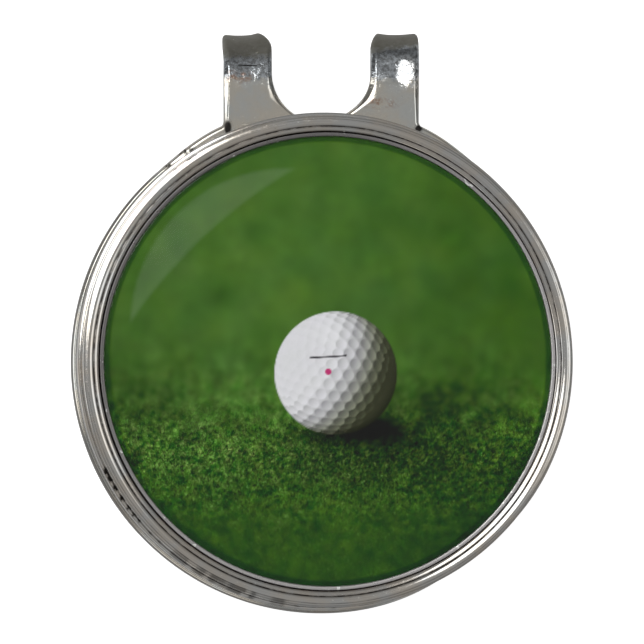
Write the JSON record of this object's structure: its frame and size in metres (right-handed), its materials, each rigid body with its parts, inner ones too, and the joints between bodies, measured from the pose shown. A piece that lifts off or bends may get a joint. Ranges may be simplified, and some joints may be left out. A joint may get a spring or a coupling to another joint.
{
  "type": "golf ball marker on a magnetic hat clip",
  "caption": "Round domed golf ball marker held by a magnet in a plated ring, on a sprung clip that slides over a hat brim or pocket edge.",
  "frame": {"origin": "on the disc's axis, in the plane the clip lies on, at the flat end of the spring tongue", "axes": "+Z along the disc's axis, out of the marker's domed face; +Y from the disc's centre towards the clip's arms; +X to the right when looking at the marker with the arms up"},
  "size_m": [0.028, 0.0324, 0.0091],
  "materials": {
    "nickel_plate": "polished nickel plating on sheet steel, lightly scratched",
    "cup_plating": "polished nickel plating on a cast ring",
    "marker_plating": "plated steel rim, satin",
    "magnet_plating": "plated neodymium disc, satin",
    "solder": "dull solder",
    "adhesive": "cured adhesive film",
    "print": "colour print, golf ball on grass",
    "resin": "clear domed resin, high gloss"
  },
  "bodies": {
    "clip": {"clip_plate": "nickel_plate", "cup": "cup_plating", "solder_layer": "solder", "magnet": "magnet_plating", "magnet_adhesive": "adhesive"},
    "tongue": {"spring_tongue": "nickel_plate"},
    "marker": {"marker_blank": "marker_plating", "print_adhesive": "adhesive", "print_insert": "print", "epoxy_dome": "resin"}
  },
  "joints": [
    {"name": "tongue_flex", "type": "hinge", "parent": "clip", "child": "tongue", "pos_m": [0, 0.01798, 0.00273], "axis": [1, 0, 0], "range_deg": [0, 8], "stiffness_Nm_per_rad": 0.5},
    {"name": "marker_lift", "type": "slide", "parent": "clip", "child": "marker", "axis": [0, 0, 1], "range_m": [0, 0.02]}
  ]
}
